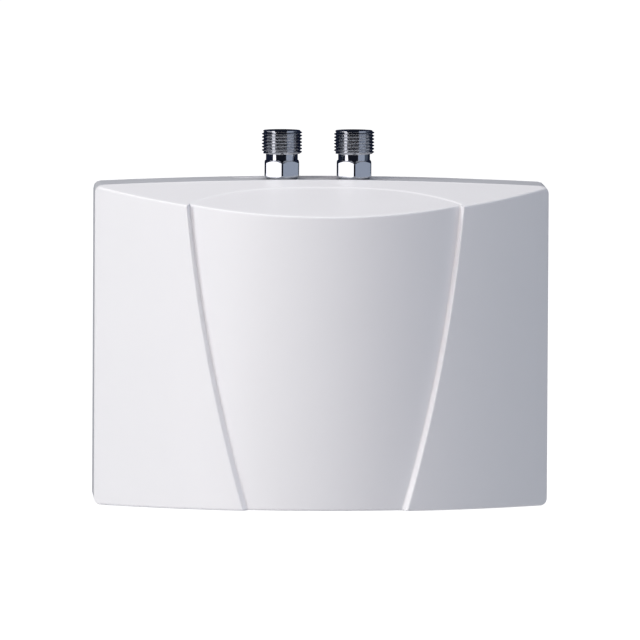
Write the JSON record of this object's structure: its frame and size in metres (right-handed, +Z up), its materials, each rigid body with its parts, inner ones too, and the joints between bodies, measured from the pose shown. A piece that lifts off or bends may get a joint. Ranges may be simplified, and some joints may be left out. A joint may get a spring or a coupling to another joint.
{
  "type": "tankless water heater",
  "caption": "Small wall-hung electric tankless water heater: bowed white cover with an inset V-shaped middle panel, grey rear housing, and threaded water fittings on top.",
  "frame": {"origin": "centre of the flat rear face that lies on the wall", "axes": "+X to the right as seen from the front, front faces -Y, +Z up along the water fittings"},
  "size_m": [0.186, 0.087, 0.1546],
  "materials": {
    "white_plastic": "smooth gloss white moulded shell",
    "grey_plastic": "satin light grey moulding",
    "chrome_plate": "polished nickel and chrome plate",
    "black_rubber": "matt black elastomer",
    "bright_steel": "bright zinc-plated or stainless steel",
    "heating_wire": "drawn resistance wire",
    "copper": "bright drawn copper tube",
    "block_plastic": "glass-filled moulding",
    "brass": "turned brass",
    "blue_grey_plastic": "glass-filled moulding",
    "black_plastic": "moulded phenolic",
    "red_plastic": "gloss moulding",
    "white_ceramic": "unglazed electrical ceramic",
    "brown_wire": "insulated wire",
    "blue_wire": "insulated wire",
    "green_wire": "insulated wire"
  },
  "bodies": {
    "housing": {"rear_housing": "grey_plastic", "inlet_fitting": "chrome_plate", "outlet_fitting": "chrome_plate", "inlet_seal": "black_rubber", "outlet_seal": "black_rubber", "block_gasket": "black_rubber", "switch_membrane": "black_rubber", "flow_screw_washer": "black_rubber", "cable_grommet": "black_rubber", "inlet_clip": "bright_steel", "outlet_clip": "bright_steel", "lid_screw_1": "bright_steel", "lid_screw_2": "bright_steel", "lid_screw_3": "bright_steel", "lid_screw_4": "bright_steel", "cap_screw_1": "bright_steel", "cap_screw_2": "bright_steel", "plunger_spring": "bright_steel", "microswitch_screw_1": "bright_steel", "microswitch_screw_2": "bright_steel", "cutout_clamp": "bright_steel", "cutout_screw_1": "bright_steel", "cutout_screw_2": "bright_steel", "clamp_screw_1": "bright_steel", "clamp_screw_2": "bright_steel", "heating_coil_1": "heating_wire", "heating_coil_2": "heating_wire", "inlet_pipe": "copper", "transfer_pipe": "copper", "outlet_pipe": "copper", "heating_block": "block_plastic", "block_lid": "block_plastic", "coil_pin_1": "brass", "coil_pin_2": "brass", "coil_pin_3": "brass", "coil_pin_4": "brass", "terminal_screw_1": "brass", "terminal_screw_2": "brass", "terminal_screw_3": "brass", "earth_stud": "brass", "switch_body": "blue_grey_plastic", "switch_cap": "blue_grey_plastic", "flow_limiter": "black_plastic", "microswitch": "black_plastic", "thermal_cutout": "black_plastic", "terminal_block": "white_ceramic", "cable_clamp": "white_ceramic", "live_wire": "brown_wire", "switched_wire": "brown_wire", "coil_wire": "brown_wire", "coil_link": "brown_wire", "neutral_wire": "blue_wire", "earth_wire": "green_wire"},
    "cover": {"front_cover": "white_plastic"},
    "strainer": {"inlet_strainer": "bright_steel"},
    "plunger": {"plunger": "brass"},
    "lever": {"switch_lever": "bright_steel"},
    "reset_button": {"reset_button": "red_plastic"},
    "flow_screw": {"flow_screw": "brass"}
  },
  "joints": [
    {"name": "cover_slide", "type": "slide", "parent": "housing", "child": "cover", "axis": [0, -1, 0], "range_m": [0, 0.09]},
    {"name": "strainer_slide", "type": "slide", "parent": "housing", "child": "strainer", "axis": [0, 0, 1], "range_m": [0, 0.03]},
    {"name": "plunger_slide", "type": "slide", "parent": "housing", "child": "plunger", "axis": [0, 0, 1], "range_m": [0, 0.0015], "stiffness_N_per_m": 600, "springref_m": -0.002, "deforming": ["plunger_spring"]},
    {"name": "lever_hinge", "type": "hinge", "parent": "housing", "child": "lever", "pos_m": [0.07, -0.017, 0.03455], "axis": [0, 1, 0], "range_deg": [0, 3.95], "stiffness_Nm_per_rad": 0.0001, "springref_deg": 42.97},
    {"name": "reset_press", "type": "slide", "parent": "housing", "child": "reset_button", "axis": [0, 1, 0], "range_m": [0, 0.002], "stiffness_N_per_m": 300, "springref_m": -0.001},
    {"name": "flow_screw_turn", "type": "hinge", "parent": "housing", "child": "flow_screw", "pos_m": [0.027, -0.029, 0.006], "axis": [0, 1, 0], "range_deg": [-180, 180]}
  ],
  "couplings": [
    {"joint": "lever_hinge", "follows": "plunger_slide", "rad_per_m": 45.455}
  ]
}
